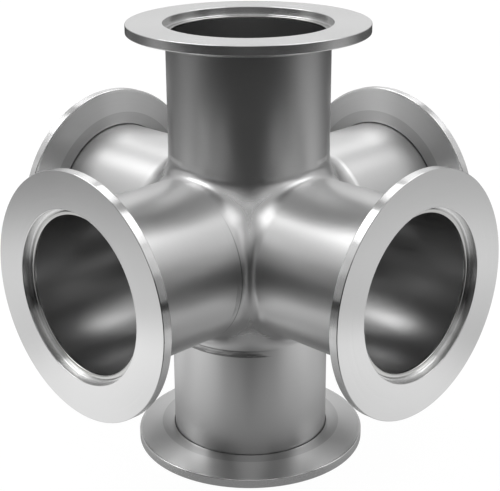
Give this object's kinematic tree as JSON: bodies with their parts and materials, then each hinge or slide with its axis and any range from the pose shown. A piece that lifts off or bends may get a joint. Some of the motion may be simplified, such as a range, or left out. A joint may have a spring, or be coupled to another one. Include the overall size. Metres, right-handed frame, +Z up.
{
  "type": "six-way cross",
  "caption": "Hollow stainless six-way cross for vacuum lines: equal tube arms at right angles, each ending in a clamp flange with a centring recess.",
  "frame": {"origin": "the point where the three bore axes meet, at the middle of the part", "axes": "+Z up through the top arm, +X through the right arm, +Y through the back arm"},
  "size_m": [0.14, 0.14, 0.14],
  "materials": {
    "formed_body": "satin, polished blends",
    "satin_tube": "satin",
    "turned_flange": "fine turned",
    "ground_weld": "ground weld seam",
    "seal_weld": "bright fused weld"
  },
  "bodies": {
    "root": {"cross_body": "formed_body", "tube_right": "satin_tube", "body_weld_right": "ground_weld", "flange_right": "turned_flange", "flange_weld_right": "seal_weld", "tube_left": "satin_tube", "body_weld_left": "ground_weld", "flange_left": "turned_flange", "flange_weld_left": "seal_weld", "tube_front": "satin_tube", "body_weld_front": "ground_weld", "flange_front": "turned_flange", "flange_weld_front": "seal_weld", "tube_back": "satin_tube", "body_weld_back": "ground_weld", "flange_back": "turned_flange", "flange_weld_back": "seal_weld", "tube_top": "satin_tube", "body_weld_top": "ground_weld", "flange_top": "turned_flange", "flange_weld_top": "seal_weld", "tube_bottom": "satin_tube", "body_weld_bottom": "ground_weld", "flange_bottom": "turned_flange", "flange_weld_bottom": "seal_weld"}
  },
  "joints": []
}
